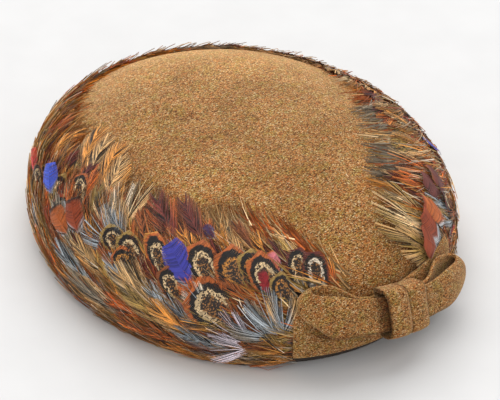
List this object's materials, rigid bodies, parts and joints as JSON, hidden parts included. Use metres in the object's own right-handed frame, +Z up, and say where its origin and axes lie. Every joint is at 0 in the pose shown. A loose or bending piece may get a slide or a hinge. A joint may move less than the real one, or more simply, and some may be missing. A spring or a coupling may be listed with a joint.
{
  "type": "tweed hat with a feather band and a bow",
  "caption": "Low oval tweed hat, domed and hollow, with a wide band of layered feathers round its side and a flat cloth bow in front.",
  "frame": {"origin": "bottom centre of the whole hat's box, on the surface that it rests on", "axes": "+Z up, -Y towards the front where the bow is, +X to the right seen from the front"},
  "size_m": [0.2534, 0.3106, 0.08],
  "materials": {
    "tweed": "fuzzy woven wool",
    "bow_tweed": "fuzzy woven wool",
    "feathers": "soft feather barbs with a slight sheen"
  },
  "bodies": {
    "root": {"crown": "tweed", "feather_band": "feathers", "bow_base": "bow_tweed", "bow_loop_left": "bow_tweed", "bow_loop_right": "bow_tweed", "bow_knot": "bow_tweed"}
  },
  "joints": []
}
